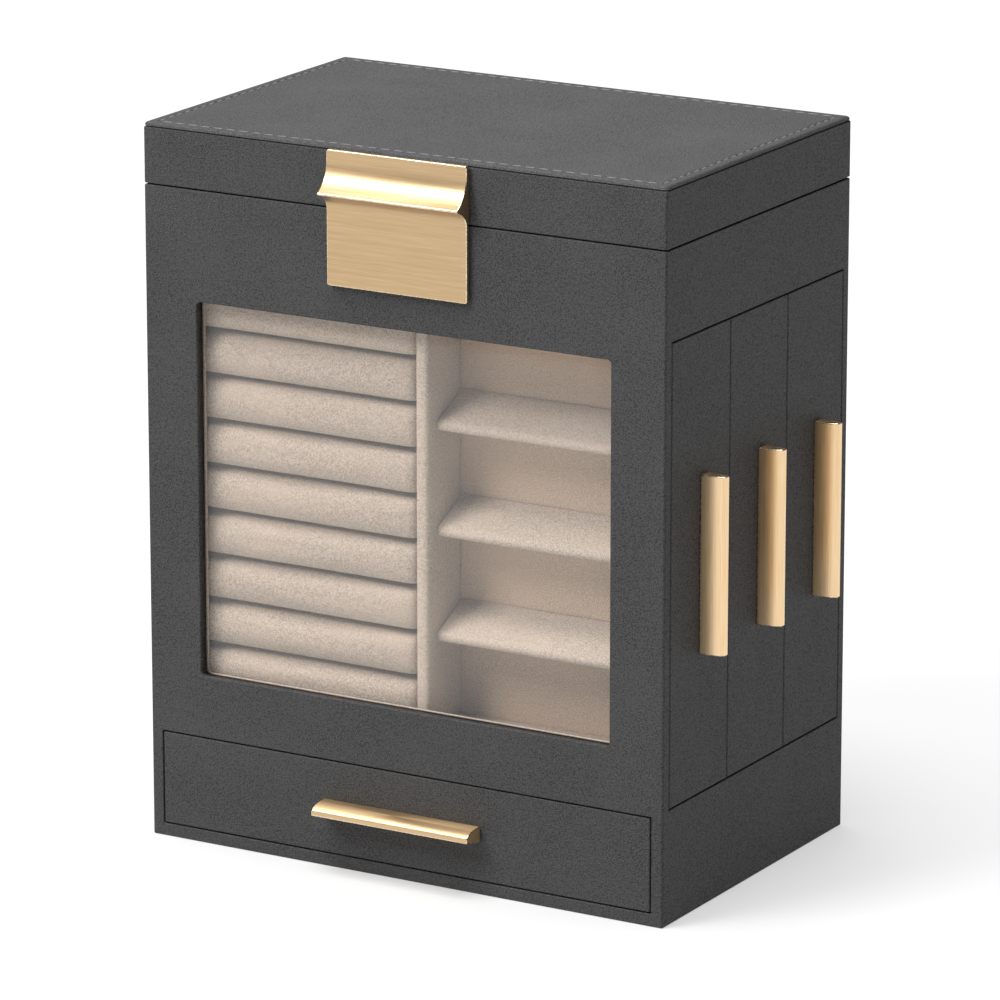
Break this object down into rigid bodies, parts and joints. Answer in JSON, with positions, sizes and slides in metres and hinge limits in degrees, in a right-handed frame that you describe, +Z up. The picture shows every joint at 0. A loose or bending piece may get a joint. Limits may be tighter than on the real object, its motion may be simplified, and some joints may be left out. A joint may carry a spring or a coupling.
{
  "type": "jewelry armoire",
  "caption": "Tabletop jewelry cabinet in leatherette: hinged mirror lid over a lined tray, front window, a front drawer and tall side drawers with ring rolls, earring shelves and hooks.",
  "frame": {"origin": "on the ground, under the middle of the cabinet, handles not counted", "axes": "+Z up, -Y is the front with the window, +X is the side the tall drawers open to"},
  "size_m": [0.284, 0.1906, 0.34],
  "materials": {
    "leatherette": "matte charcoal leatherette with a fine pebble grain, wrapped over fibreboard",
    "velvet": "short beige velvet",
    "champagne_metal": "brushed champagne gold",
    "window_glass": "clear, thin",
    "mirror_glass": "polished",
    "hinge_steel": "satin, brass plated",
    "magnet": "plain",
    "base_cloth": "thin black felt"
  },
  "bodies": {
    "carcass": {"left_side_panel": "leatherette", "right_side_frame": "leatherette", "back_panel": "leatherette", "bottom_panel": "leatherette", "front_panel": "leatherette", "window_glass": "window_glass", "window_frame": "velvet", "lower_deck": "leatherette", "upper_deck": "leatherette", "partition_front": "leatherette", "partition_rear": "leatherette", "tray_liner": "velvet", "tray_divider_long": "velvet", "tray_divider_short": "velvet", "base_felt": "base_cloth", "hinge_lower_leaves": "hinge_steel", "hinge_pins": "hinge_steel", "hinge_lower_screws": "hinge_steel", "latch_magnet": "magnet"},
    "lid": {"lid_top_pad": "leatherette", "lid_frame": "leatherette", "lid_lining_board": "velvet", "lid_mirror": "mirror_glass", "latch_handle": "champagne_metal", "latch_screws": "hinge_steel", "hinge_upper_leaves": "hinge_steel", "hinge_upper_screws": "hinge_steel"},
    "front_drawer": {"front_drawer_face": "leatherette", "front_drawer_tray": "velvet", "front_drawer_pull": "champagne_metal", "front_drawer_screws": "hinge_steel"},
    "ring_drawer": {"ring_drawer_face": "leatherette", "ring_drawer_tray": "velvet", "ring_drawer_divider": "velvet", "ring_drawer_plinth": "velvet", "ring_roll_1": "velvet", "ring_roll_2": "velvet", "ring_roll_3": "velvet", "ring_roll_4": "velvet", "ring_roll_5": "velvet", "ring_roll_6": "velvet", "ring_roll_7": "velvet", "ring_roll_8": "velvet", "ring_roll_9": "velvet", "earring_shelf_1": "velvet", "earring_shelf_2": "velvet", "earring_shelf_3": "velvet", "ring_drawer_pull": "champagne_metal", "ring_drawer_screws": "hinge_steel"},
    "middle_drawer": {"middle_drawer_face": "leatherette", "middle_drawer_tray": "velvet", "middle_drawer_hook_bar": "champagne_metal", "middle_drawer_pull": "champagne_metal", "middle_drawer_screws": "hinge_steel"},
    "rear_drawer": {"rear_drawer_face": "leatherette", "rear_drawer_tray": "velvet", "rear_drawer_hook_bar": "champagne_metal", "rear_drawer_pull": "champagne_metal", "rear_drawer_screws": "hinge_steel"}
  },
  "joints": [
    {"name": "lid_hinge", "type": "hinge", "parent": "carcass", "child": "lid", "pos_m": [0, 0.0894, 0.3112], "axis": [-1, 0, 0], "range_deg": [0, 95]},
    {"name": "front_drawer_slide", "type": "slide", "parent": "carcass", "child": "front_drawer", "axis": [0, -1, 0], "range_m": [0, 0.13]},
    {"name": "ring_drawer_slide", "type": "slide", "parent": "carcass", "child": "ring_drawer", "axis": [1, 0, 0], "range_m": [0, 0.22]},
    {"name": "middle_drawer_slide", "type": "slide", "parent": "carcass", "child": "middle_drawer", "axis": [1, 0, 0], "range_m": [0, 0.22]},
    {"name": "rear_drawer_slide", "type": "slide", "parent": "carcass", "child": "rear_drawer", "axis": [1, 0, 0], "range_m": [0, 0.22]}
  ]
}
